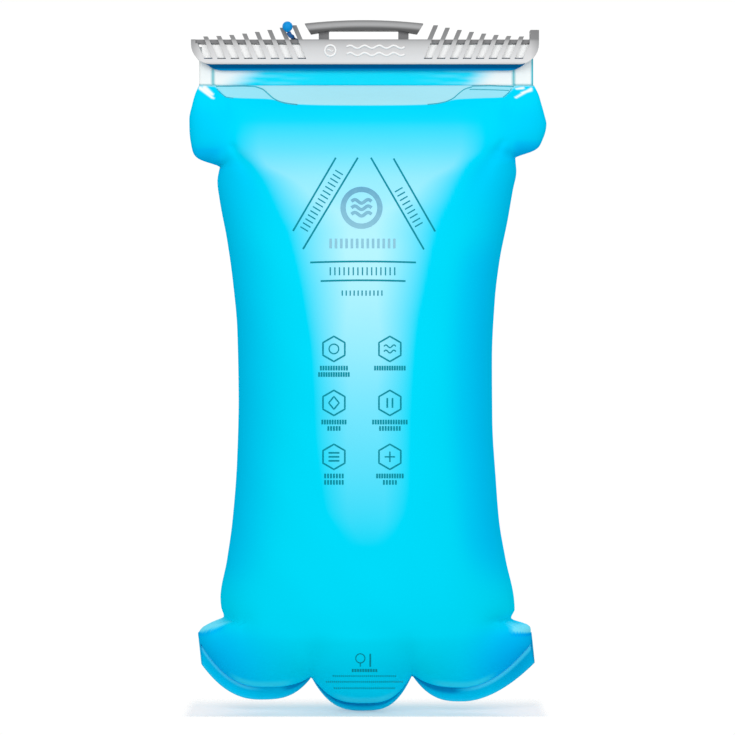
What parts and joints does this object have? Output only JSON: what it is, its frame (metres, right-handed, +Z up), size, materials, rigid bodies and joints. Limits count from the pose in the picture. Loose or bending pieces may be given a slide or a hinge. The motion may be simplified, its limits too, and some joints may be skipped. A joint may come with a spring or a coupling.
{
  "type": "hydration bladder",
  "caption": "Soft film drinking-water reservoir with a slide-on zip closure, a hanging handle and a valved drink-tube port.",
  "frame": {"origin": "on the flat underside of the hanging handle, between its two posts", "axes": "+Z up along the hanging bag, +X to the right seen from the printed front, towards which the closure slides off, +Y to the back, where the drink-tube port is"},
  "size_m": [0.1764, 0.0892, 0.3447],
  "materials": {
    "blue_film": "translucent soft film, satin",
    "clear_film": "clear soft film",
    "rail_plastic": "smooth moulded",
    "tether_plastic": "smooth moulded",
    "slider_plastic": "satin moulded",
    "grip_rubber": "soft matt",
    "port_plastic": "satin moulded",
    "button_plastic": "smooth moulded",
    "seal_rubber": "matt",
    "spring_steel": "drawn wire"
  },
  "bodies": {
    "closure_slider": {"slider_channel": "slider_plastic", "handle_grip": "grip_rubber", "tether_ball": "tether_plastic"},
    "reservoir": {"front_film_panel": "blue_film", "back_film_panel": "blue_film", "bottom_weld_strip": "blue_film", "neck_front_film": "clear_film", "neck_back_film": "clear_film", "folded_mouth": "clear_film", "front_rail": "rail_plastic", "back_rail": "rail_plastic", "tether_anchor": "rail_plastic", "tether_cord": "tether_plastic", "port_flange": "port_plastic", "port_housing": "port_plastic", "port_o_ring": "seal_rubber", "spring_cage": "port_plastic", "latch_spring": "spring_steel", "valve_spring": "spring_steel"},
    "tube_latch": {"latch_plate": "port_plastic", "release_button": "button_plastic"},
    "shutoff_valve": {"valve_poppet": "port_plastic", "poppet_seal": "seal_rubber"}
  },
  "joints": [
    {"name": "closure_slide", "type": "slide", "parent": "closure_slider", "child": "reservoir", "axis": [-1, 0, 0], "range_m": [0, 0.171], "deforming": ["tether_cord"]},
    {"name": "latch_press", "type": "slide", "parent": "reservoir", "child": "tube_latch", "axis": [0, 0, -1], "range_m": [0, 0.002], "stiffness_N_per_m": 400, "springref_m": -0.004, "deforming": ["latch_spring"]},
    {"name": "valve_open", "type": "slide", "parent": "reservoir", "child": "shutoff_valve", "axis": [0, -1, 0], "range_m": [0, 0.003], "stiffness_N_per_m": 350, "springref_m": -0.003, "deforming": ["valve_spring"]}
  ]
}
